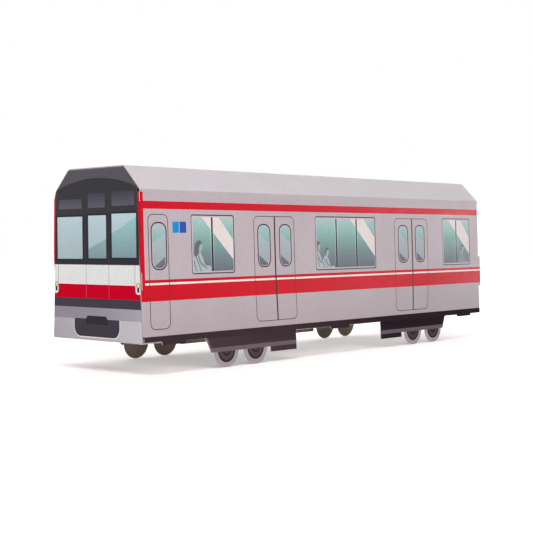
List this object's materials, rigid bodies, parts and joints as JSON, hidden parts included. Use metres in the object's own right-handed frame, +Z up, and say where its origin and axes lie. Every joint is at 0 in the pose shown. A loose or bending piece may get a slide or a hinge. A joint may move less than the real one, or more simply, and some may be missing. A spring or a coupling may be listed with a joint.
{
  "type": "folded card model of a metro car",
  "caption": "Hollow folded card model of a metro car with printed sides, tucked hinged end panels and die-cut half-disc wheels.",
  "frame": {"origin": "bottom centre of the whole model, level with the bottoms of the wheel discs", "axes": "+X along the car from the cab end to the rear end, +Z up, the car's left side wall at -Y"},
  "size_m": [0.4032, 0.0962, 0.1374],
  "materials": {
    "side_print": "light grey ink with red bands and printed windows on semi-gloss coated board",
    "roof_print": "pale grey ink on semi-gloss coated board",
    "underside_print": "unprinted coated board",
    "running_gear_print": "dark brown ink on semi-gloss coated board",
    "wheel_print": "grey ring and dark disc printed on coated board",
    "red_flap_print": "red ink on semi-gloss coated board",
    "cab_print": "printed cab front: dark top, pale windows, white, red and grey bands",
    "rear_print": "light grey ink with a printed gangway door",
    "raw_board": "uncoated brownish grey back of recycled board"
  },
  "bodies": {
    "sleeve": {"bogie_frame_front_left": "running_gear_print", "bogie_frame_front_right": "running_gear_print", "bogie_frame_rear_left": "running_gear_print", "bogie_frame_rear_right": "running_gear_print", "floor_panel": "underside_print", "front_dust_flap_left": "red_flap_print", "front_dust_flap_right": "red_flap_print", "glue_flap": "raw_board", "rear_dust_flap_left": "side_print", "rear_dust_flap_right": "side_print", "roof_panel": "roof_print", "roof_slope_left": "roof_print", "roof_slope_right": "roof_print", "side_wall_left": "side_print", "side_wall_right": "side_print", "wheels_front_left": "wheel_print", "wheels_front_right": "wheel_print", "wheels_rear_left": "wheel_print", "wheels_rear_right": "wheel_print"},
    "front_flap": {"front_panel": "cab_print", "front_tuck_flap": "raw_board"},
    "rear_flap": {"rear_panel": "rear_print", "rear_tuck_flap": "raw_board"}
  },
  "joints": [
    {"name": "front_panel_opens", "type": "hinge", "parent": "sleeve", "child": "front_flap", "pos_m": [-0.20162, 0, 0.0217], "axis": [0, -1, 0], "range_deg": [0, 90]},
    {"name": "rear_panel_opens", "type": "hinge", "parent": "sleeve", "child": "rear_flap", "pos_m": [0.20037, 0, 0.0217], "axis": [0, 1, 0], "range_deg": [0, 90]}
  ]
}
